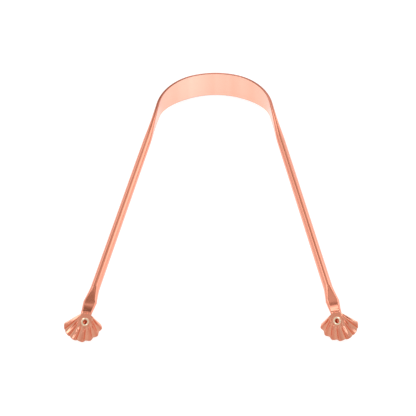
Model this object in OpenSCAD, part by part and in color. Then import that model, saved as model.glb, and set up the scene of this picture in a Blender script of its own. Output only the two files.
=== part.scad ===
// Tongue scraper bent from one round copper wire. The middle of the wire is rolled flat into
// the scraping band, the two round arms splay apart, and a fluted shell finger rest is riveted
// to each flattened end.
// It lies flat: +Z is up, +Y points to the closed end of the bow, and the arms open towards -Y.
// The origin is under the middle of the whole outline, on the surface that the scraper lies on.

/* [Wire] */
// Diameter of the round wire that the bow is made from
wire_d = 2.6; // [2:0.1:3.2]

/* [Scraping band] */
// Width of the flattened band at the top of the arch
blade_w = 8.6; // [7:0.1:11]
// Length along the wire from the middle of the arch to where the band starts to narrow
taper_start = 8; // [5:0.5:14]
// Length along the wire from the middle of the arch to where the wire is fully round
taper_end = 45; // [36:1:56]

/* [Bow] */
// Radius of the arch, measured to the middle of the wire
arch_r = 18.5; // [15:0.5:24]
// Angle of each arm outwards from the middle line, in degrees
splay = 8.9; // [5:0.1:14]
// Length of each arm from the end of the arch to the widest point of its neck
arm_l = 97; // [75:1:120]

/* [Pressed ends] */
// Width across the neck where the wire is pressed out widest
neck_w = 3.8; // [3.3:0.1:4.6]
// Length over which the round wire widens into the neck
flare_l = 6; // [4:0.5:9]
// Length from the widest point of the neck to the bend
neck_l = 3.9; // [3:0.1:7]
// Width of the flat tab behind the shell
tab_w = 3; // [2.4:0.1:3.2]
// Thickness of the flat tab
tab_t = 1; // [0.8:0.1:1.4]
// Length of straight tab from the bend to the middle of the rivet
tab_l = 1.7; // [1.7:0.1:3]
// Radius of the bend, measured to the middle of the metal
bend_r = 1.6; // [1.2:0.1:3]
// Angle that the tabs and shells droop below the arms, in degrees
droop = 46; // [30:1:60]
// Angle that the neck is twisted before the bend, to turn the tab and shell inwards, in degrees
neck_twist = 16; // [0:1:20]
// Angle that the tab is twisted further inwards in the bend, in degrees
tab_twist = 24; // [0:1:30]

/* [Shells] */
// Length of the shell along its middle, from the point its flutes spread from to the rim
shell_l = 8.6; // [7.5:0.1:10]
// Length of the shell along its two sides, from the same point
shell_side_l = 7.1; // [5.5:0.1:7.5]
// How far the rim draws in at its two corners
shell_corner = 0.5; // [0:0.1:1]
// Distance from the point its flutes spread from to the middle of the rivet
shell_apex_l = 3; // [2.4:0.1:3.2]
// Distance from the point its flutes spread from to the shell's top edge
shell_root = 0.9; // [0.6:0.1:1.2]
// Angle that the shell is turned inwards on its rivet, in degrees
shell_turn = 14; // [0:1:25]
// Thickness of the shell's sheet
shell_t = 0.45; // [0.3:0.05:0.6]
// Number of raised flutes across the shell
shell_flutes = 7; // [5:2:9]
// Angle between one flute and the next, in degrees
flute_angle = 16.5; // [12:0.5:18]
// Height of the flutes above and below the sheet at the rim
flute_h = 0.28; // [0.15:0.01:0.35]
// How far each flute stands out past the notches in the rim
lobe_h = 0.3; // [0.2:0.05:0.6]
// How far the rim falls below the flat crown
crown_h = 0.9; // [0.5:0.1:2.6]

/* [Rivets] */
// Diameter of the hole in the rivet's rolled end
rivet_bore_d = 1.2; // [0.8:0.1:1.4]
// Depth of that hole below the shell's face, where the rivet turns solid
rivet_bore_l = 1; // [0.6:0.1:1]
// Thickness of the rivet's barrel wall round the hole
rivet_wall = 0.25; // [0.15:0.05:0.3]
// Outer diameter of the rolled ring on the shell's face
ring_d = 2.4; // [2.1:0.1:2.6]
// Diameter of the rivet's domed head on the back of the tab
head_d = 2.3; // [1.9:0.1:2.6]
// Height of the domed head
head_h = 0.35; // [0.2:0.05:0.5]
// Clearance between the rivet's barrel and its holes, on the radius
rivet_gap = 0.02; // [0.01:0.01:0.05]

/* [Hidden] */

wire_r = wire_d / 2;
blade_r = blade_w / 2;
arch_turn = 90 - splay;
arch_len = arch_r * arch_turn * PI / 180;
neck_s = arch_len + arm_l;
bend_s = neck_s + neck_l;
bend_len = bend_r * droop * PI / 180;
rivet_s = bend_s + bend_len + tab_l;

// Powers that shape four curves: the flare opens slowly at first, and so does the shell's fall,
// the rim draws in only near its corners, and the flutes' crests are narrower than their valleys
flare_power_share = 1.3;
crown_power_share = 1.6;
corner_power_share = 8;
crest_power_share = 1.5;

// Points round the bow's section, and steps along its stretches
section_n = 24;
arch_step = 3;
taper_n = 12;
flare_n = 9;
neck_n = 5;
bend_n = 6;
tip_n = 6;
// How far the last ring of points stays short of the tab's tip, as a share of one step
tip_short_share = 0.25;

function unit(t) = max(0, min(1, t));
function smooth(t) = unit(t) * unit(t) * (3 - 2 * unit(t));
function mix(a, b, t) = a + (b - a) * t;

// Half thickness of wire pressed to a given half width, with flat faces and round edges.
// Pressing moves the metal and keeps the area of its section, so
// 4 * wide * thin - (4 - PI) * thin ^ 2 = PI * wire_r ^ 2.
function pressed(wide) =
    (2 * wide - sqrt(4 * wide * wide - (4 - PI) * PI * wire_r * wire_r)) / (4 - PI);

// Half height of the metal at a length s along the wire from the middle of the arch
function half_height(s) =
    s <= neck_s - flare_l ? mix(blade_r, wire_r, smooth((s - taper_start) / (taper_end - taper_start)))
    : s <= neck_s ? pressed(half_width(s))
    : mix(pressed(neck_w / 2), tab_t / 2, unit((s - neck_s) / neck_l));

// Half width of the metal across the wire, level with the arms
function half_width(s) =
    s <= neck_s - flare_l ? pressed(half_height(s))
    : s <= neck_s ? mix(wire_r, neck_w / 2, pow((s - neck_s + flare_l) / flare_l, flare_power_share))
    : s <= bend_s ? mix(neck_w / 2, tab_w / 2, (s - neck_s) / neck_l)
    : s <= rivet_s ? tab_w / 2
    : sqrt(max(0, pow(tab_w / 2, 2) - pow(s - rivet_s, 2)));

// Direction in plan, in degrees clockwise from +X, and angle below level, at a length s
function heading(s) = min(s, arch_len) / arch_len * arch_turn;
function dip(s) = unit((s - bend_s) / bend_len) * droop;

// Angles that the metal is twisted by, in the neck and then in the bend
function neck_lean(s) = smooth((s - neck_s) / neck_l) * neck_twist;
function tab_lean(s) = smooth((s - bend_s) / bend_len) * tab_twist;

// Where the middle of the wire is on the right-hand side, at a length s, and the directions
// along, across and up through the metal there. The arch is a circle, the arm is straight and
// the bend turns about the direction that the neck's twist gives it.
function place_at(s) =
    let (
        a = heading(s),
        d = dip(s),
        n = neck_lean(s),
        m = tab_lean(s),
        out = [cos(a), -sin(a), 0],
        outward = [sin(a), cos(a), 0],
        over = [0, 0, 1],
        side = cos(n) * outward + sin(n) * over,
        top = cos(n) * over - sin(n) * outward,
        along = cos(d) * out - sin(d) * top,
        above = cos(d) * top + sin(d) * out,
        arch = [arch_r * sin(a), -arch_r * (1 - cos(a)), 0],
        arm = max(0, min(s, bend_s) - arch_len) * out,
        bend = bend_r * sin(d) * out - bend_r * (1 - cos(d)) * top,
        tab = max(0, s - bend_s - bend_len) * along
    )
    [
        arch + arm + bend + tab,
        along,
        cos(m) * side + sin(m) * above,
        cos(m) * above - sin(m) * side
    ];

// One ring of points round the metal at a length s, with side 1 on the right and -1 on the left
function ring_at(s, side) =
    let (
        place = place_at(s),
        w = half_width(s),
        h = half_height(s),
        edge = min(w, h)
    )
    [for (i = [0 : section_n - 1])
        let (
            t = (i + 0.5) * 360 / section_n,
            u = sign(cos(t)) * (w - edge) + edge * cos(t),
            v = sign(sin(t)) * (h - edge) + edge * sin(t),
            p = place[0] + u * place[2] + v * place[3]
        )
        [side * p[0], p[1], p[2]]];

// Lengths along the wire at which the bow's section is drawn, for one side
function steps(from, to, n) = [for (i = [1 : n]) mix(from, to, i / n)];
arch_n = ceil(arch_turn / arch_step);
tip_lengths = [for (i = [1 : tip_n])
    rivet_s + tab_w / 2 * sin(90 * (i - tip_short_share) / tip_n)];
side_lengths = concat(
    steps(0, arch_len, arch_n),
    steps(arch_len, taper_end, taper_n),
    [neck_s - flare_l],
    steps(neck_s - flare_l, neck_s, flare_n),
    steps(neck_s, bend_s, neck_n),
    steps(bend_s, bend_s + bend_len, bend_n),
    [rivet_s],
    tip_lengths
);
side_n = len(side_lengths);
bow_rings = concat(
    [for (i = [side_n - 1 : -1 : 0]) ring_at(side_lengths[i], -1)],
    [ring_at(0, 1)],
    [for (s = side_lengths) ring_at(s, 1)]
);

// A solid skinned over a list of rings that all have n points
module skin(rings, n) {
    last = len(rings) - 1;
    polyhedron(
        points = [for (r = rings) each r],
        faces = concat(
            [[for (i = [0 : n - 1]) i]],
            [for (j = [0 : last - 1], i = [0 : n - 1])
                let (k = (i + 1) % n)
                [j * n + i, (j + 1) * n + i, (j + 1) * n + k, j * n + k]],
            [[for (i = [n - 1 : -1 : 0]) last * n + i]]
        )
    );
}

// Shell, seen from the front with the rivet's middle at the origin, the tab's tip towards +Y,
// the bow's middle line on the +X side and the back of the sheet level with z = 0 on the tab
land_gap = 0.05;
land_r = tab_w / 2 + land_gap;
fall_l = shell_l - shell_apex_l - land_r;
flute_fade_share = 0.3;
flute_steps = 8;
sheet_rows = 9;
// The shell's two sides run a few steps past the crests of its outermost flutes
side_steps = 3;
fan_steps = (shell_flutes - 1) / 2 * flute_steps + side_steps;
fan_half = fan_steps * flute_angle / flute_steps;
fan_angles = [for (i = [-fan_steps : fan_steps]) i * flute_angle / flute_steps];

function lobe(a) = cos(180 * (a / flute_angle - round(a / flute_angle)));
function rim_at(a) =
    mix(shell_l, shell_side_l, pow(a / fan_half, 2)) - lobe_h * (1 - lobe(a))
    - shell_corner * pow(abs(a) / fan_half, corner_power_share);

// Height of the flutes across the fan, from 1 on a crest to -1 in a valley
function wave(a) = 2 * pow(lobe(a), 2 * crest_power_share) - 1;

// A place on the sheet, at an angle a and a reach r from the point its flutes spread from
function turned_at(a, r) =
    let (
        x = r * sin(a),
        y = r * cos(a) - shell_apex_l
    )
    [x * cos(shell_turn) + y * sin(shell_turn), y * cos(shell_turn) - x * sin(shell_turn)];

// Distance past the flat land that lies on the tab, as a share of the fall's length
function past_land(p) = max(0, norm([p[0], max(0, p[1])]) - land_r) / fall_l;

// A point of the back of the sheet at an angle a and a share t of the way out to the rim
function sheet_at(a, t) =
    let (
        p = turned_at(a, mix(shell_root, rim_at(a), t)),
        f = past_land(p),
        flute = flute_h * wave(a) * smooth(f / flute_fade_share)
    )
    [p[0], p[1], flute - crown_h * pow(f, crown_power_share)];

back_rows = [for (j = [0 : sheet_rows]) [for (a = fan_angles) sheet_at(a, j / sheet_rows)]];
columns = len(fan_angles);

module shell_sheet() {
    // Each loop runs once round the sheet's thickness, out along the back and in along the front
    loops = [for (i = [0 : columns - 1])
        concat(
            [for (j = [0 : sheet_rows]) back_rows[j][i]],
            [for (j = [sheet_rows : -1 : 0]) back_rows[j][i] + [0, 0, shell_t]]
        )];
    skin(loops, 2 * (sheet_rows + 1));
}

// Where the tab's front face carries the middle of the rivet, on one side
module at_seat(side) {
    mirror([side < 0 ? 1 : 0, 0, 0])
        translate(place_at(rivet_s)[0])
            rotate([0, 0, 180 + splay])
                rotate([0, neck_twist, 0])
                    rotate([-droop, 0, 0])
                        rotate([0, tab_twist, 0])
                            translate([0, 0, tab_t / 2])
                                children();
}

// A point of the shell's sheet, moved to its seat on the right
function seated(p) =
    let (place = place_at(rivet_s))
    place[0] - p[0] * place[2] + p[1] * place[1] + (p[2] + tab_t / 2) * place[3];

// The scraper lies on the edge of its band and on the rims of its shells, so it is tilted a
// little until all three are level, and then set about the middle of its outline
rim_points = [for (p = back_rows[sheet_rows], z = [0, shell_t]) seated(p + [0, 0, z])];
low_rim_z = min([for (p = rim_points) p[2]]);
low_rim_y = [for (p = rim_points) if (p[2] == low_rim_z) p[1]][0];
rest_tilt = atan((-blade_r - low_rim_z) / low_rim_y);
front_y = min([for (p = rim_points) p[1] * cos(rest_tilt) - p[2] * sin(rest_tilt)]);
far_y = half_width(0) + (blade_r - half_width(0)) * abs(sin(rest_tilt));

module placed() {
    translate([0, -(front_y + far_y) / 2, blade_r * cos(rest_tilt)])
        rotate([rest_tilt, 0, 0])
            children();
}

rivet_bore_r = rivet_bore_d / 2;
barrel_r = rivet_bore_r + rivet_wall;
hole_r = barrel_r + rivet_gap;
overrun = 1;
hole_n = 48;

// The hole for a rivet, through the tab and the shell together
module rivet_hole() {
    translate([0, 0, -tab_t - overrun])
        cylinder(r = hole_r, h = tab_t + shell_t + 2 * overrun, $fn = hole_n);
}

// Outline of the half-round ring that the rivet's hollow end is rolled into
module rolled_ring() {
    ring_r = (ring_d / 2 - rivet_bore_r) / 2;
    intersection() {
        translate([rivet_bore_r + ring_r, shell_t]) circle(ring_r, $fn = hole_n);
        translate([rivet_bore_r, shell_t]) square([2 * ring_r, ring_r]);
    }
}

// Outline of the low dome that closes the rivet on the back of the tab
module domed_head() {
    head_r = head_d / 2;
    dome_r = (head_r * head_r + head_h * head_h) / (2 * head_h);
    intersection() {
        translate([0, dome_r - head_h - tab_t]) circle(dome_r, $fn = hole_n);
        translate([0, -head_h - tab_t]) square([head_r, head_h]);
    }
}

// The shank is solid behind, and a tube in front as deep as its hole
module rivet() {
    solid_l = tab_t + shell_t - rivet_bore_l;
    color([0.93, 0.66, 0.52])
        rotate_extrude($fn = hole_n) {
            translate([0, -tab_t]) square([barrel_r, solid_l]);
            translate([rivet_bore_r, -tab_t]) square([rivet_wall, tab_t + shell_t]);
            rolled_ring();
            domed_head();
        }
}

module shell() {
    color([0.82, 0.5, 0.4])
        difference() {
            shell_sheet();
            rivet_hole();
        }
}

module scraper_bow() {
    color([0.88, 0.56, 0.45])
        placed()
            difference() {
                skin(bow_rings, section_n);
                for (side = [-1, 1]) at_seat(side) rivet_hole();
            }
}

module left_shell() placed() at_seat(-1) shell();
module right_shell() placed() at_seat(1) shell();
module left_rivet() placed() at_seat(-1) rivet();
module right_rivet() placed() at_seat(1) rivet();

scraper_bow();
left_shell();
right_shell();
left_rivet();
right_rivet();
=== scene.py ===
"""A polished copper tongue scraper: one wire bow with a rolled band, two fluted shell finger rests
and two rivets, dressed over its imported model. Lengths are in metres, angles in degrees."""

from math import acos, atan, atan2, copysign, cos, pi, radians, sin, sqrt

import bpy
import numpy as np
from mathutils import Matrix, Vector


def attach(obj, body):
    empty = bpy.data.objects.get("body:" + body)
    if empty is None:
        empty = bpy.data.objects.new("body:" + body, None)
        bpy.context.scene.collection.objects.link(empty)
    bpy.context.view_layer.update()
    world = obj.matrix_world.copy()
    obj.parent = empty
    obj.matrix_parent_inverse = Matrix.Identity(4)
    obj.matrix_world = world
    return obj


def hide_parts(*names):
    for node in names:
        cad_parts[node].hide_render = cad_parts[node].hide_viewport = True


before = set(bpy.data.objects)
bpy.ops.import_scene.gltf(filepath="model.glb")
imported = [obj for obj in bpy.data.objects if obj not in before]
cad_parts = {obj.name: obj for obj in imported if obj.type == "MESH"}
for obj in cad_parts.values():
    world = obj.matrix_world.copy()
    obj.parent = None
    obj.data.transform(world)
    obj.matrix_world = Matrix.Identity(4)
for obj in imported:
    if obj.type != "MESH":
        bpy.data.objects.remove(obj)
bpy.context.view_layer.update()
MM = 0.001

# The wire, its rolled band and the bow
WIRE_R = 1.3 * MM
BLADE_R = 4.3 * MM
TAPER_START = 8 * MM
TAPER_END = 45 * MM
ARCH_R = 18.5 * MM
SPLAY = 8.9
ARM_L = 97 * MM

# The pressed necks and the tabs behind the shells
NECK_R = 1.9 * MM
FLARE_L = 6 * MM
FLARE_POWER = 1.3
NECK_L = 3.9 * MM
TAB_R = 1.5 * MM
TAB_T = 1 * MM
TAB_L = 1.7 * MM
BEND_R = 1.6 * MM
DROOP = 46
NECK_TWIST = 16
TAB_TWIST = 24

# The shells, each with a flat land round its rivet that reaches just past the tab
SHELL_L = 8.6 * MM
SHELL_SIDE_L = 7.1 * MM
SHELL_CORNER = 0.5 * MM
CORNER_POWER = 8
SHELL_APEX_L = 3 * MM
SHELL_ROOT = 0.9 * MM
SHELL_TURN = 14
SHELL_T = 0.45 * MM
LAND_PAST_TAB = 0.05 * MM
LAND_R = TAB_R + LAND_PAST_TAB
CROWN_H = 0.9 * MM
CROWN_POWER = 1.6
RIM_ROUND = 0.09 * MM
RIM_ANGLE = 50

# The flutes of a shell
FLUTES = 7
FLUTE_ANGLE = 16.5
FLUTE_H = 0.28 * MM
FLUTE_FADE = 0.3
CREST_POWER = 1.5
LOBE_H = 0.3 * MM

# The rivets, whose blind holes end in a drill's point
BORE_R = 0.6 * MM
BORE_L = 1 * MM
BORE_POINT_L = BORE_R / 3
BARREL_R = 0.85 * MM
RING_R = 1.2 * MM
HEAD_R = 1.15 * MM
HEAD_H = 0.35 * MM

# The drill for the holes through shell and tab that the rivets stand in
HOLE_R = 0.87 * MM
DRILL_L = 6 * SHELL_T + 2 * TAB_T

# How the bow's length divides, from the middle of its arch to the middle of a rivet
ARCH_TURN = 90 - SPLAY
ARCH_L = ARCH_R * radians(ARCH_TURN)
NECK_S = ARCH_L + ARM_L
FLARE_S = NECK_S - FLARE_L
BEND_S = NECK_S + NECK_L
BEND_L = BEND_R * radians(DROOP)
RIVET_S = BEND_S + BEND_L + TAB_L

# How finely curved surfaces are drawn. The last section of the bow stays a little short of the
# tip, by a share of a step
SECTION_POINTS = 48
ARCH_STEPS = 60
TAPER_STEPS = 24
FLARE_STEPS = 16
NECK_STEPS = 12
BEND_STEPS = 16
TIP_STEPS = 10
TIP_SHORT = 0.2
FLUTE_COLUMNS = 16
SIDE_COLUMNS = 6
SHELL_ROWS = 30
RIM_STEPS = 3
RIM_SAMPLES = 400
ROUND_STEPS = 64
RING_STEPS = 18
DOME_STEPS = 8

# Half the angle of a shell's fan, whose sides lie a few columns past its outer flutes
FAN_HALF = (FLUTES - 1) / 2 * FLUTE_ANGLE + SIDE_COLUMNS * FLUTE_ANGLE / FLUTE_COLUMNS

# How near doubled points lie, and the angles from which an edge is kept sharp
DOUBLES = 0.0005 * MM
MIDDLE_DOUBLES = 0.001 * MM
CREASE = 40
SHELL_CREASE = 50

# The camera, as fitted to the photo in its frame of 416 by 416 pixels
PHOTO_PX = 416
CAMERA_ELEVATION = 37.067
CAMERA_YAW = 1.209
CAMERA_ROLL = -1.044
CAMERA_DISTANCE = 480 * MM
CAMERA_NEAR = CAMERA_DISTANCE / 50
CAMERA_AIM = Vector((0, 5.65, 5.402)) * MM
AIM_PX = (213.244, 181.214)
PX_PER_METRE = 3295
SENSOR_MM = 36

# Colours of the copper: the band's rolled faces, painted pale as a painted sheen, and its edges,
# painted dark as painted shade, the drawn arms and the crests of the flutes, the grooves between
# the flutes, painted paler as painted light that offsets their shade, the rivets' rings, painted
# bright as a painted highlight, and their holes, painted deep red as painted shade
BAND_SHEEN_COPPER = (1, 0.66, 0.53, 1)
EDGE_SHADE_COPPER = (0.6, 0.23, 0.16, 1)
COPPER = (0.9, 0.37, 0.255, 1)
GROOVE_LIGHT_COPPER = (0.95, 0.5, 0.37, 1)
RING_HIGHLIGHT_COPPER = (1, 0.86, 0.68, 1)
HOLE_SHADE_COPPER = (0.62, 0.13, 0.065, 1)

# Where the finishes change over: how far the wire is rolled for its faces to take the painted sheen
# and its edges the painted shade, how high on its round section an edge begins, the height across
# the flutes, and the share of the rivet hole's depth that takes the hole's painted shade
SHEEN_FADE = (0, 0.6)
EDGE_SHADE_FADE = (0.15, 0.5)
EDGE_FADE = (0.1 * MM, 0.5 * MM)
CREST_FADE = (-1, 0.6)
HOLE_SHADE_FADE = (0, 0.3)

# The clouds of the polish, and the least share of the deep colour that they leave on each piece
CLOUD_FADE = (0.3, 0.7)
WIRE_CLOUD = 0.9
SHELL_CLOUD = 0.8
RIVET_CLOUD = 0.9

# Soft painted reflection bands across the rolled band, and how much deeper in colour they are at
# most
SHEEN_STRIPE_SCALE = 90
SHEEN_STRIPE_DETAIL = 2
SHEEN_STRIPE_FADE = (0.35, 0.65)
SHEEN_STRIPE_DEPTH = 0.16

# The band's painted highlight: its palest place, how far it reaches, and how much deeper the colour
# is beyond that
SHEEN_PEAK_X = -7 * MM
SHEEN_PEAK_REACH = 10 * MM
SHEEN_PEAK_DEPTH = 0.34

# The marks of the polish: the greatest heights of its waves and of its fine marks, the detail of
# each noise, and how places are drawn out along the wire
WAVE_H = 0.05 * MM
MARK_H = 0.02 * MM
WAVE_DETAIL = 1
MARK_DETAIL = 4
CLOUD_DETAIL = 3
WIRE_STRETCH = (0.08, 1, 1)

# Colours of the studio where it is dim and where it is bright, and the strengths at which it is
# wholly the one or the other
DIM_TINT = (1, 0.75, 0.6, 1)
WHITE = (1, 1, 1, 1)
TINT_FADE = (0.45, 0.95)

# The floor, just under the scraper, and its pool of light as the metal mirrors it: the middle of
# the pool, far behind the scraper, the radii between which it fades, under the shells, and the
# floor's glow outside it and in it
FLOOR_SIZE = 4
FLOOR_DROP = 0.02 * MM
FLOOR_GREY = (0.35, 0.35, 0.35, 1)
POOL_MIDDLE = (0, 250 * MM, 0)
POOL_RADII = (293 * MM, 314 * MM)
FLOOR_GLOW = (0.42, 0.82)

# The lamp: its azimuth and elevation, as for the patches below, its distance, size and watts
LAMP_ANGLES = (31, 30)
LAMP_DISTANCE = 900 * MM
LAMP_SIZE = 300 * MM
LAMP_POWER = 0.2

# The studio's plain level, and its bright and dim patches: azimuth from the back to the right,
# elevation, the angles at which each is whole and gone, and how much brighter it is
STUDIO_LEVEL = 0.66
STUDIO_PATCHES = (
    (56, 10, 10, 36, 0.5),
    (18, 22, 4, 22, 0.25),
    (-20, 23, 5, 14, 0.4),
    (-28, 3, 4, 14, -0.15),
    (-54, 6, 12, 40, 0.26),
    (-37, 44, 5, 17, 1.2),
    (-20, 37, 3, 10, -0.45),
    (-21, 46, 2, 8, 0.25),
    (-9, 46, 2, 9, -0.35),
    (6, 49, 3, 8, 0.15),
    (21, 48, 3, 11, -0.32),
    (38, 47, 4, 12, -0.45),
    (-121, 46, 3, 12, 2.2),
    (-138, 27, 2, 8, 1.2),
    (128, 41, 3, 12, 1.5),
    (0, 84, 8, 26, 1.6),
)


def unit(t):
    return max(0, min(1, t))


def smooth(t):
    return unit(t) ** 2 * (3 - 2 * unit(t))


def mix(a, b, t):
    return a + (b - a) * t


def turned(first, second, angle):
    """Two directions or distances that are square to each other, turned together by an angle."""
    return cos(angle) * first + sin(angle) * second, cos(angle) * second - sin(angle) * first


def pressed(wide):
    """Half thickness of the wire where it is pressed to a half width, its section area kept."""
    return (2 * wide - sqrt(4 * wide**2 - (4 - pi) * pi * WIRE_R**2)) / (4 - pi)


def half_height(s):
    """Half height of the metal at a length s along the wire from the middle of the arch."""
    if s <= FLARE_S:
        return mix(BLADE_R, WIRE_R, smooth((s - TAPER_START) / (TAPER_END - TAPER_START)))
    if s <= NECK_S:
        return pressed(half_width(s))
    return mix(pressed(NECK_R), TAB_T / 2, unit((s - NECK_S) / NECK_L))


def half_width(s):
    """Half width of the metal across the wire, level with the arms."""
    if s <= FLARE_S:
        return pressed(half_height(s))
    if s <= NECK_S:
        return mix(WIRE_R, NECK_R, ((s - FLARE_S) / FLARE_L) ** FLARE_POWER)
    if s <= BEND_S:
        return mix(NECK_R, TAB_R, (s - NECK_S) / NECK_L)
    return sqrt(max(0, TAB_R**2 - max(0, s - RIVET_S) ** 2))


def lean(s, start, length, turn):
    """The angle that the metal is twisted by at s, along a stretch that twists it by a turn."""
    return radians(smooth((s - start) / length) * turn)


def place_at(s):
    """Where the middle of the wire is on the right, and the directions along, across and up."""
    heading = radians(min(s, ARCH_L) / ARCH_L * ARCH_TURN)
    dip = radians(unit((s - BEND_S) / BEND_L) * DROOP)
    outward, out = turned(Vector((0, 1, 0)), Vector((1, 0, 0)), heading)
    side, top = turned(outward, Vector((0, 0, 1)), lean(s, NECK_S, NECK_L, NECK_TWIST))
    above, along = turned(top, out, dip)
    across, up = turned(side, above, lean(s, BEND_S, BEND_L, TAB_TWIST))
    place = Vector((ARCH_R * sin(heading), -ARCH_R * (1 - cos(heading)), 0))
    place += max(0, min(s, BEND_S) - ARCH_L) * out
    place += BEND_R * sin(dip) * out - BEND_R * (1 - cos(dip)) * top
    place += max(0, s - BEND_S - BEND_L) * along
    return place, along, across, up


def lobe(angle):
    """1 on the crest of a flute and 0 in the notch beside it."""
    return cos(radians(180 * (angle / FLUTE_ANGLE - round(angle / FLUTE_ANGLE))))


def wave(angle):
    """Height across the flutes, 1 on a crest and -1 in a valley, the crests the narrower."""
    return 2 * lobe(angle) ** (2 * CREST_POWER) - 1


def rim_at(angle):
    """How far the rim lies from the point that the flutes spread from."""
    side = abs(angle) / FAN_HALF
    reach = mix(SHELL_L, SHELL_SIDE_L, side**2)
    return reach - LOBE_H * (1 - lobe(angle)) - SHELL_CORNER * side**CORNER_POWER


def fall_at(x, y):
    """How far a place on the sheet lies past its flat land on the tab, as a share of the fall."""
    return max(0, sqrt(x**2 + max(0, y) ** 2) - LAND_R) / (SHELL_L - SHELL_APEX_L - LAND_R)


def sheet_at(angle, share):
    """A point of a shell's back, at an angle from its middle and a share of the way to its rim."""
    reach = mix(SHELL_ROOT, rim_at(angle), share)
    x = reach * sin(radians(angle))
    y = reach * cos(radians(angle)) - SHELL_APEX_L
    x, y = turned(x, y, radians(SHELL_TURN))
    fall = fall_at(x, y)
    flute = FLUTE_H * wave(angle) * smooth(fall / FLUTE_FADE)
    return Vector((x, y, flute - CROWN_H * fall**CROWN_POWER))


def seat():
    """The place of the right shell's rivet on the front of its tab, before the bow is set down."""
    place, along, across, up = place_at(RIVET_S)
    turn = Matrix((-across, along, up)).transposed().to_4x4()
    return Matrix.Translation(place + up * TAB_T / 2) @ turn


def set_down():
    """Tilts the bow until it lies on its band and both shells, and centres it on its outline."""
    place = seat()
    edge = [sheet_at(angle, 1) for angle in np.linspace(-FAN_HALF, FAN_HALF, RIM_SAMPLES)]
    rim = [place @ (point + Vector((0, 0, z))) for point in edge for z in (0, SHELL_T)]
    lowest = min(rim, key=lambda point: point.z)
    tilt = atan((-BLADE_R - lowest.z) / lowest.y)
    front = min(point.y * cos(tilt) - point.z * sin(tilt) for point in rim)
    far = half_width(0) + (BLADE_R - half_width(0)) * abs(sin(tilt))
    shift = Matrix.Translation((0, -(front + far) / 2, BLADE_R * cos(tilt)))
    return shift @ Matrix.Rotation(tilt, 4, "X")


SET_DOWN = set_down()
SEAT = SET_DOWN @ seat()
TO_LEFT = Matrix.Scale(-1, 4, (1, 0, 0))


def point_attribute(piece, name, kind, values):
    """Stores one value for each point of a piece, for its finish to follow."""
    layer = piece.data.attributes.new(name, kind, "POINT")
    field = "vector" if kind == "FLOAT_VECTOR" else "value"
    layer.data.foreach_set(field, np.asarray(values, np.float32).ravel())


def pick(piece):
    """Selects one piece alone and makes it the active one."""
    bpy.ops.object.select_all(action="DESELECT")
    piece.select_set(True)
    bpy.context.view_layer.objects.active = piece


def apply_modifier(kind, **settings):
    """Adds a modifier to the active piece and applies it."""
    bpy.ops.object.modifier_add(type=kind)
    modifier = bpy.context.object.modifiers[-1]
    for name, value in settings.items():
        setattr(modifier, name, value)
    bpy.ops.object.modifier_apply(modifier=modifier.name)


def edit(step):
    """Runs an edit-mode step on the active piece with all of it selected."""
    bpy.ops.object.mode_set(mode="EDIT")
    bpy.ops.mesh.select_all(action="SELECT")
    step()
    bpy.ops.object.mode_set(mode="OBJECT")


def extrude(x, y, z):
    """Draws what is selected out by a distance."""
    bpy.ops.mesh.extrude_region_move(TRANSFORM_OT_translate={"value": (x, y, z)})


def face_outwards():
    """Joins doubled points and turns every face outwards."""
    bpy.ops.mesh.remove_doubles(threshold=DOUBLES)
    bpy.ops.mesh.normals_make_consistent(inside=False)


def named_piece(name):
    """The primitive just added, under its own name, with its place put into its mesh."""
    piece = bpy.context.object
    piece.name = piece.data.name = name
    bpy.ops.object.transform_apply(location=True, rotation=True, scale=True)
    return piece


def mirror_copy(piece, name):
    """A left-hand copy of a right-hand piece, with its own mesh and its faces turned out again."""
    copy = piece.copy()
    copy.data = piece.data.copy()
    copy.name = copy.data.name = name
    bpy.context.collection.objects.link(copy)
    copy.data.transform(TO_LEFT)
    pick(copy)
    edit(bpy.ops.mesh.flip_normals)
    return copy


def drill(piece, places):
    """Cuts the rivet's hole through a piece at each place."""
    for place in places:
        bpy.ops.object.select_all(action="DESELECT")
        bpy.ops.mesh.primitive_cylinder_add(vertices=ROUND_STEPS, radius=HOLE_R, depth=DRILL_L)
        cutter = named_piece("rivet_drill")
        cutter.data.transform(place)
        pick(piece)
        apply_modifier("BOOLEAN", operation="DIFFERENCE", solver="EXACT", object=cutter)
        bpy.data.objects.remove(cutter)


def finish_surface(piece, crease):
    """Smooth shading with true edges kept, and flats that stay flat beside their rounded edges."""
    pick(piece)
    bpy.ops.object.shade_smooth_by_angle(angle=radians(crease))
    apply_modifier("WEIGHTED_NORMAL", mode="FACE_AREA", keep_sharp=True)


def spread(start, end, steps):
    """Even steps from a start, left out, to an end."""
    return [mix(start, end, i / steps) for i in range(1, steps + 1)]


def wire_lengths():
    """Lengths along the wire at which its section is drawn, closer together where it changes."""
    tip_angles = [radians(90 * (i - TIP_SHORT) / TIP_STEPS) for i in range(1, TIP_STEPS + 1)]
    return (
        spread(0, ARCH_L, ARCH_STEPS)
        + spread(ARCH_L, TAPER_END, TAPER_STEPS)
        + [FLARE_S]
        + spread(FLARE_S, NECK_S, FLARE_STEPS)
        + spread(NECK_S, BEND_S, NECK_STEPS)
        + spread(BEND_S, BEND_S + BEND_L, BEND_STEPS)
        + [RIVET_S]
        + [RIVET_S + TAB_R * sin(angle) for angle in tip_angles]
    )


def roll_and_bend(s, turn):
    """Where a point of the round blank goes when its wire is rolled, pressed and bent."""
    wide = half_width(s)
    high = half_height(s)
    edge = min(wide, high)
    place, _, across, up = place_at(s)
    y = edge * cos(turn) + copysign(wide - edge, cos(turn))
    z = edge * sin(turn) + copysign(high - edge, sin(turn))
    return place + y * across + z * up


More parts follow.
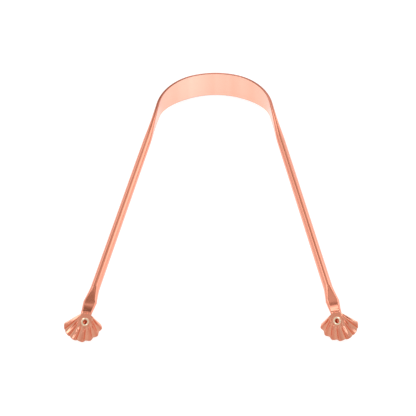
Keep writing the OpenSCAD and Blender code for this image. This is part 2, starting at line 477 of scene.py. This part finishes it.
def make_bow():
    """Half a round wire is drawn out along X, rolled and bent, mirrored, set down and drilled."""
    along_x = (0, pi / 2, 0)
    bpy.ops.mesh.primitive_circle_add(vertices=SECTION_POINTS, radius=WIRE_R, rotation=along_x)
    bow = named_piece("copper_bow")
    bpy.ops.object.mode_set(mode="EDIT")
    bpy.ops.mesh.select_all(action="SELECT")
    drawn = 0
    for s in wire_lengths():
        extrude(s - drawn, 0, 0)
        drawn = s
    bpy.ops.mesh.edge_face_add()
    bpy.ops.object.mode_set(mode="OBJECT")
    half_step = pi / SECTION_POINTS
    blank = [(v.co.x, atan2(v.co.z, v.co.y) + half_step) for v in bow.data.vertices]
    round_wire = [(s, cos(turn) * WIRE_R, sin(turn) * WIRE_R) for s, turn in blank]
    point_attribute(bow, "along_wire", "FLOAT_VECTOR", round_wire)
    rolled = [(half_height(s) - WIRE_R) / (BLADE_R - WIRE_R) for s, turn in blank]
    point_attribute(bow, "rolled", "FLOAT", rolled)
    for vertex, (s, turn) in zip(bow.data.vertices, blank):
        vertex.co = roll_and_bend(s, turn)
    apply_modifier("MIRROR", merge_threshold=MIDDLE_DOUBLES)
    edit(face_outwards)
    bow.data.transform(SET_DOWN)
    drill(bow, (SEAT, TO_LEFT @ SEAT @ TO_LEFT))
    finish_surface(bow, CREASE)
    return bow


def make_shell():
    """A flat blank is stamped into the fluted crown, given its thickness, rounded and drilled."""
    columns = (FLUTES - 1) * FLUTE_COLUMNS + 2 * SIDE_COLUMNS
    bpy.ops.mesh.primitive_grid_add(x_subdivisions=columns, y_subdivisions=SHELL_ROWS, size=1)
    shell = named_piece("right_finger_shell")
    blank = [(v.co.x * 2 * FAN_HALF, v.co.y + 0.5) for v in shell.data.vertices]
    crests = [wave(angle) * smooth(share / FLUTE_FADE) for angle, share in blank]
    point_attribute(shell, "crest", "FLOAT", crests)
    for vertex, (angle, share) in zip(shell.data.vertices, blank):
        vertex.co = sheet_at(angle, share)
    edit(lambda: extrude(0, 0, SHELL_T))
    edit(face_outwards)
    apply_modifier(
        "BEVEL", width=RIM_ROUND, segments=RIM_STEPS,
        limit_method="ANGLE", angle_limit=radians(RIM_ANGLE),
    )
    drill(shell, (Matrix.Identity(4),))
    shell.data.transform(SEAT)
    finish_surface(shell, SHELL_CREASE)
    return shell


def rivet_outline():
    """The rivet's half section from the bottom of its hole, over its rolled ring, to its head."""
    hole = [(0, SHELL_T - BORE_L - BORE_POINT_L), (BORE_R, SHELL_T - BORE_L), (BORE_R, SHELL_T)]
    ring = (RING_R - BORE_R) / 2
    ring_angles = [radians(angle) for angle in spread(0, 180, RING_STEPS)]
    rolled = [(BORE_R + ring - ring * cos(a), SHELL_T + ring * sin(a)) for a in ring_angles]
    barrel = [(BARREL_R, SHELL_T), (BARREL_R, -TAB_T)]
    dome = (HEAD_R**2 + HEAD_H**2) / (2 * HEAD_H)
    dome_angle = acos((dome - HEAD_H) / dome)
    dome_angles = [dome_angle] + spread(dome_angle, 0, DOME_STEPS)
    head = [(dome * sin(a), -TAB_T - HEAD_H + dome - dome * cos(a)) for a in dome_angles]
    return hole + rolled + barrel + head


def make_rivet():
    """One point is drawn along the half section, which is then spun round the rivet's middle."""
    bpy.ops.mesh.primitive_plane_add(size=MM)
    rivet = named_piece("right_rolled_rivet")
    outline = rivet_outline()
    bpy.ops.object.mode_set(mode="EDIT")
    bpy.ops.mesh.select_all(action="SELECT")
    bpy.ops.mesh.merge(type="CENTER")
    x, z = outline[0]
    bpy.ops.transform.translate(value=(x, 0, z))
    for next_x, next_z in outline[1:]:
        extrude(next_x - x, 0, next_z - z)
        x, z = next_x, next_z
    bpy.ops.mesh.select_all(action="SELECT")
    bpy.ops.mesh.spin(steps=ROUND_STEPS, angle=2 * pi, center=(0, 0, 0), axis=(0, 0, 1))
    bpy.ops.object.mode_set(mode="OBJECT")
    edit(face_outwards)
    depths = [max(0, (SHELL_T - v.co.z) / BORE_L) for v in rivet.data.vertices]
    point_attribute(rivet, "depth", "FLOAT", depths)
    rivet.data.transform(SEAT)
    finish_surface(rivet, CREASE)
    return rivet


def feed(tree, socket, value):
    """Links a socket to another node's output, or sets it to a fixed value."""
    if isinstance(value, bpy.types.NodeSocket):
        tree.links.new(value, socket)
    else:
        socket.default_value = value


def node(tree, kind, inputs=None, **settings):
    """A shader node with its settings, and its inputs given by name or number."""
    made = tree.nodes.new(kind)
    for name, value in settings.items():
        setattr(made, name, value)
    for name, value in (inputs or {}).items():
        feed(tree, made.inputs[name], value)
    return made


def math_node(tree, operation, first, second=0):
    return node(tree, "ShaderNodeMath", {0: first, 1: second}, operation=operation).outputs[0]


def blend_colours(tree, share, first, second):
    """A mix of two colours, which may be fixed or come from nodes."""
    inputs = {0: share, 6: first, 7: second}
    return node(tree, "ShaderNodeMix", inputs, data_type="RGBA").outputs[2]


def ramp(tree, value, low, high, new_low=0, new_high=1):
    """A soft step from one value to another as a value goes from low to high."""
    inputs = {
        "Value": value, "From Min": low, "From Max": high, "To Min": new_low, "To Max": new_high,
    }
    return node(tree, "ShaderNodeMapRange", inputs, interpolation_type="SMOOTHSTEP").outputs[0]


def noise(tree, place, scale, detail):
    inputs = {"Vector": place, "Scale": scale, "Detail": detail}
    return node(tree, "ShaderNodeTexNoise", inputs).outputs[0]


def bump(tree, height, depth, distance, before=None):
    """A bump of a greatest height, over an earlier one if it is given."""
    inputs = {"Height": height, "Strength": depth, "Distance": distance}
    if before:
        inputs["Normal"] = before
    return node(tree, "ShaderNodeBump", inputs).outputs[0]


def attribute(tree, name, output="Fac"):
    return node(tree, "ShaderNodeAttribute", attribute_name=name).outputs[output]


def object_place(tree):
    return node(tree, "ShaderNodeTexCoord").outputs["Object"]


def axis_of(tree, place, axis):
    return node(tree, "ShaderNodeSeparateXYZ", {0: place}).outputs[axis]


def along_wire(tree):
    """Places drawn out along the wire, so that marks run along it."""
    inputs = {0: attribute(tree, "along_wire", "Vector"), 1: WIRE_STRETCH}
    return node(tree, "ShaderNodeVectorMath", inputs, operation="MULTIPLY").outputs[0]


def polish_marks_group():
    """Slow waves and fine marks left by polishing, as a normal, and cloudy variation, as a mask."""
    group = bpy.data.node_groups.new("polish marks", "ShaderNodeTree")
    group.interface.new_socket("Place", in_out="INPUT", socket_type="NodeSocketVector")
    for name in ("Wave Scale", "Wave Depth", "Mark Scale", "Mark Depth", "Cloud Scale"):
        group.interface.new_socket(name, in_out="INPUT", socket_type="NodeSocketFloat")
    group.interface.new_socket("Normal", in_out="OUTPUT", socket_type="NodeSocketVector")
    group.interface.new_socket("Cloud", in_out="OUTPUT", socket_type="NodeSocketFloat")
    given = node(group, "NodeGroupInput").outputs
    waves = noise(group, given["Place"], given["Wave Scale"], WAVE_DETAIL)
    marks = noise(group, given["Place"], given["Mark Scale"], MARK_DETAIL)
    clouds = noise(group, given["Place"], given["Cloud Scale"], CLOUD_DETAIL)
    waved = bump(group, waves, given["Wave Depth"], WAVE_H)
    marked = bump(group, marks, given["Mark Depth"], MARK_H, waved)
    node(group, "NodeGroupOutput", {"Normal": marked, "Cloud": clouds})
    return group


POLISH_MARKS = polish_marks_group()


def copper(name, place, colour, roughness, marks):
    """Polished copper, with its marks laid out by one function and its colour made by another."""
    material = bpy.data.materials.new(name)
    material.use_nodes = True
    tree = material.node_tree
    inputs = {"Place": place(tree), **marks}
    polish = node(tree, "ShaderNodeGroup", inputs, node_tree=POLISH_MARKS).outputs
    shader = tree.nodes["Principled BSDF"].inputs
    shader["Metallic"].default_value = 1
    feed(tree, shader["Base Color"], colour(tree, polish["Cloud"]))
    feed(tree, shader["Roughness"], ramp(tree, polish["Cloud"], *CLOUD_FADE, *roughness))
    feed(tree, shader["Normal"], polish["Normal"])
    return material


def clouded(tree, share, cloud, least):
    """A share of the deep colour, lowered by the clouds to a least part of it."""
    return math_node(tree, "MULTIPLY", share, ramp(tree, cloud, *CLOUD_FADE, least, 1))


def wire_colour(tree, cloud):
    """The band's faces are painted pale, a painted sheen with a painted highlight and painted
    reflection bands across, its edges painted dark as painted shade, and the drawn arms deep.
    """
    rolled = attribute(tree, "rolled")
    section_z = axis_of(tree, attribute(tree, "along_wire", "Vector"), 2)
    edge = ramp(tree, math_node(tree, "ABSOLUTE", section_z), *EDGE_FADE)
    # Painted shade: the rounded edges of the rolled band are painted dark
    edge_shade = math_node(tree, "MULTIPLY", ramp(tree, rolled, *EDGE_SHADE_FADE), edge)
    deep_and_edge_shade = blend_colours(tree, edge_shade, COPPER, EDGE_SHADE_COPPER)
    # Painted sheen: the rolled band's faces are painted pale, the drawn arms keep the deep copper
    drawn = clouded(tree, ramp(tree, rolled, *SHEEN_FADE, 1, 0), cloud, WIRE_CLOUD)
    # Painted reflection bands and a painted highlight: the band's painted sheen fades in soft bands
    # and away from its palest place
    x = axis_of(tree, object_place(tree), 0)
    sheen_stripes = noise(tree, x, SHEEN_STRIPE_SCALE, SHEEN_STRIPE_DETAIL)
    from_sheen_peak = math_node(tree, "ABSOLUTE", math_node(tree, "SUBTRACT", x, SHEEN_PEAK_X))
    sheen_loss = math_node(
        tree, "ADD",
        ramp(tree, sheen_stripes, *SHEEN_STRIPE_FADE, 0, SHEEN_STRIPE_DEPTH),
        ramp(tree, from_sheen_peak, 0, SHEEN_PEAK_REACH, 0, SHEEN_PEAK_DEPTH),
    )
    share = math_node(tree, "MAXIMUM", math_node(tree, "MAXIMUM", drawn, sheen_loss), edge)
    return blend_colours(tree, share, BAND_SHEEN_COPPER, deep_and_edge_shade)


def shell_colour(tree, cloud):
    """The grooves between the flutes are painted paler, painted light that offsets their shade, and
    the crests are the deep copper.
    """
    # Painted light: the grooves between the flutes are painted paler than the crests
    crests = ramp(tree, attribute(tree, "crest"), *CREST_FADE)
    return blend_colours(tree, clouded(tree, crests, cloud, SHELL_CLOUD), GROOVE_LIGHT_COPPER, COPPER)


def rivet_colour(tree, cloud):
    """The rolled ring is painted bright as a painted highlight, and the hole in it painted deep red
    as painted shade.
    """
    # Painted shade: the blind hole is painted deep red, deepest towards its bottom
    hole = ramp(tree, attribute(tree, "depth"), *HOLE_SHADE_FADE)
    return blend_colours(tree, clouded(tree, hole, cloud, RIVET_CLOUD), RING_HIGHLIGHT_COPPER, HOLE_SHADE_COPPER)


wire_copper = copper("wire_copper", along_wire, wire_colour, roughness=(0.16, 0.22), marks={
    "Wave Scale": 600, "Wave Depth": 0.5, "Mark Scale": 9000, "Mark Depth": 0.2, "Cloud Scale": 700,
})
sheet_copper = copper("sheet_copper", object_place, shell_colour, roughness=(0.1, 0.18), marks={
    "Wave Scale": 900, "Wave Depth": 0.6, "Mark Scale": 5000, "Mark Depth": 0.2, "Cloud Scale": 500,
})
rivet_copper = copper("rivet_copper", object_place, rivet_colour, roughness=(0.1, 0.16), marks={
    "Wave Scale": 900, "Wave Depth": 0.1, "Mark Scale": 5000, "Mark Depth": 0.1, "Cloud Scale": 600,
})


def dress(piece, material, cad_node):
    """Gives a piece its finish and puts it in the place of its CAD node."""
    piece.data.materials.clear()
    piece.data.materials.append(material)
    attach(piece, "root")
    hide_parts(cad_node)


def camera():
    """The camera at the photo's distance and angle, with the aim at its place in the frame."""
    lift = radians(CAMERA_ELEVATION)
    yaw = radians(CAMERA_YAW)
    back = Vector((sin(yaw) * cos(lift), -cos(yaw) * cos(lift), sin(lift)))
    level = Vector((cos(yaw), sin(yaw), 0))
    upright = back.cross(level)
    right, up = turned(level, upright, radians(CAMERA_ROLL))
    data = bpy.data.cameras.new("camera")
    data.sensor_width = SENSOR_MM
    data.lens = SENSOR_MM * PX_PER_METRE * CAMERA_DISTANCE / PHOTO_PX
    data.shift_x = (PHOTO_PX / 2 - AIM_PX[0]) / PHOTO_PX
    data.shift_y = (AIM_PX[1] - PHOTO_PX / 2) / PHOTO_PX
    data.clip_start = CAMERA_NEAR
    made = bpy.data.objects.new("camera", data)
    bpy.context.collection.objects.link(made)
    axes = Matrix((right, up, back)).transposed().to_4x4()
    made.matrix_world = Matrix.Translation(CAMERA_AIM + back * CAMERA_DISTANCE) @ axes
    bpy.context.scene.camera = made


def from_back(azimuth, elevation):
    """A direction by its angle from straight behind the scraper to the right, and its height."""
    turn = radians(azimuth)
    lift = radians(elevation)
    return Vector((sin(turn) * cos(lift), cos(turn) * cos(lift), sin(lift)))


def patch(tree, direction, aim, inner, outer):
    """A soft round patch of the surroundings about an aim, 1 inside and 0 outside, in degrees."""
    towards = node(tree, "ShaderNodeVectorMath", {0: direction, 1: aim}, operation="DOT_PRODUCT")
    return ramp(tree, towards.outputs["Value"], cos(radians(outer)), cos(radians(inner)))


def surroundings():
    """A white studio for the camera, with the soft patches that polished metal shows."""
    world = bpy.data.worlds.new("studio")
    bpy.context.scene.world = world
    world.use_nodes = True
    tree = world.node_tree
    direction = node(tree, "ShaderNodeTexCoord").outputs["Generated"]
    level = STUDIO_LEVEL
    for azimuth, elevation, inner, outer, change in STUDIO_PATCHES:
        spot = patch(tree, direction, from_back(azimuth, elevation), inner, outer)
        level = math_node(tree, "ADD", level, math_node(tree, "MULTIPLY", spot, change))
    seen = node(tree, "ShaderNodeLightPath").outputs["Is Camera Ray"]
    strength = node(tree, "ShaderNodeMix", {0: seen, 2: level, 3: 1}).outputs[0]
    background = tree.nodes["Background"].inputs
    feed(tree, background["Strength"], strength)
    tint = blend_colours(tree, ramp(tree, strength, *TINT_FADE), DIM_TINT, WHITE)
    feed(tree, background["Color"], tint)


def floor():
    """A plain floor, white to the camera and, as the metal mirrors it, dimmer outside its pool."""
    bpy.ops.mesh.primitive_plane_add(size=FLOOR_SIZE, location=(0, 0, -FLOOR_DROP))
    made = named_piece("floor")
    material = bpy.data.materials.new("floor_white")
    material.use_nodes = True
    tree = material.node_tree
    paths = node(tree, "ShaderNodeLightPath").outputs
    seen = math_node(tree, "MAXIMUM", paths["Is Camera Ray"], paths["Is Glossy Ray"])
    ends = {0: object_place(tree), 1: POOL_MIDDLE}
    away = node(tree, "ShaderNodeVectorMath", ends, operation="DISTANCE").outputs["Value"]
    lit = math_node(tree, "MAXIMUM", paths["Is Camera Ray"], ramp(tree, away, *POOL_RADII, 1, 0))
    glow = math_node(tree, "MULTIPLY", seen, ramp(tree, lit, 0, 1, *FLOOR_GLOW))
    shader = tree.nodes["Principled BSDF"].inputs
    shader["Base Color"].default_value = FLOOR_GREY
    shader["Roughness"].default_value = 1
    shader["Specular IOR Level"].default_value = 0
    feed(tree, shader["Emission Color"], blend_colours(tree, lit, DIM_TINT, WHITE))
    feed(tree, shader["Emission Strength"], glow)
    made.data.materials.append(material)


def soft_lamp():
    """A square soft lamp that faces the middle of the scraper."""
    data = bpy.data.lights.new("soft lamp", "AREA")
    data.size = LAMP_SIZE
    data.energy = LAMP_POWER
    made = bpy.data.objects.new("soft lamp", data)
    bpy.context.collection.objects.link(made)
    place = LAMP_DISTANCE * from_back(*LAMP_ANGLES)
    facing = place.to_track_quat("Z", "Y").to_matrix().to_4x4()
    made.matrix_world = Matrix.Translation(place) @ facing


bpy.ops.object.select_all(action="DESELECT")
camera()
surroundings()
floor()
soft_lamp()

bow = make_bow()
right_shell = make_shell()
left_shell = mirror_copy(right_shell, "left_finger_shell")
right_rivet = make_rivet()
left_rivet = mirror_copy(right_rivet, "left_rolled_rivet")

dress(bow, wire_copper, "scraper_bow")
dress(left_shell, sheet_copper, "left_shell")
dress(right_shell, sheet_copper, "right_shell")
dress(left_rivet, rivet_copper, "left_rivet")
dress(right_rivet, rivet_copper, "right_rivet")

bpy.context.scene.view_settings.view_transform = "Standard"
